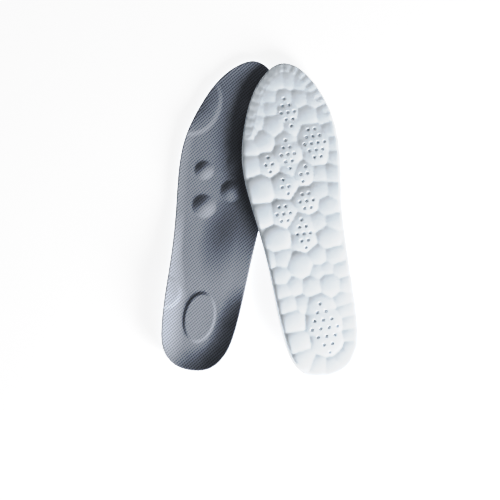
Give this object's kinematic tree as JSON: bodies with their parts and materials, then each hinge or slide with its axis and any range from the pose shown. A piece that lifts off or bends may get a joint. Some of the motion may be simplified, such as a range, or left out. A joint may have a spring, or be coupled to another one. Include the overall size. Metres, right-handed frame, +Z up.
{
  "type": "cushioned insole",
  "caption": "Cushioned shoe insoles, the left one top up with mesh cloth and massage bumps, the right one upside down on it, showing its pebbled, perforated foam underside.",
  "frame": {"origin": "bottom centre of the pair's box, on the surface it lies on", "axes": "+Z up, +Y along the insoles from heel to toe (the longest extent), +X from the left insole to the right one"},
  "size_m": [0.1648, 0.2662, 0.0289],
  "materials": {
    "foam_body": "matte moulded polyurethane foam, white with a bluish tint",
    "barrier_film": "matte film, hidden between cloth and foam",
    "top_cloth": "matte knitted mesh cloth, blue grey"
  },
  "bodies": {
    "left_insole": {"left_foam_body": "foam_body", "left_barrier_film": "barrier_film", "left_top_cloth": "top_cloth"},
    "right_insole": {"right_foam_body": "foam_body", "right_barrier_film": "barrier_film", "right_top_cloth": "top_cloth"}
  },
  "joints": [
    {"name": "right_insole_lift", "type": "slide", "parent": "left_insole", "child": "right_insole", "axis": [0, 0, 1], "range_m": [0, 0.1]}
  ]
}
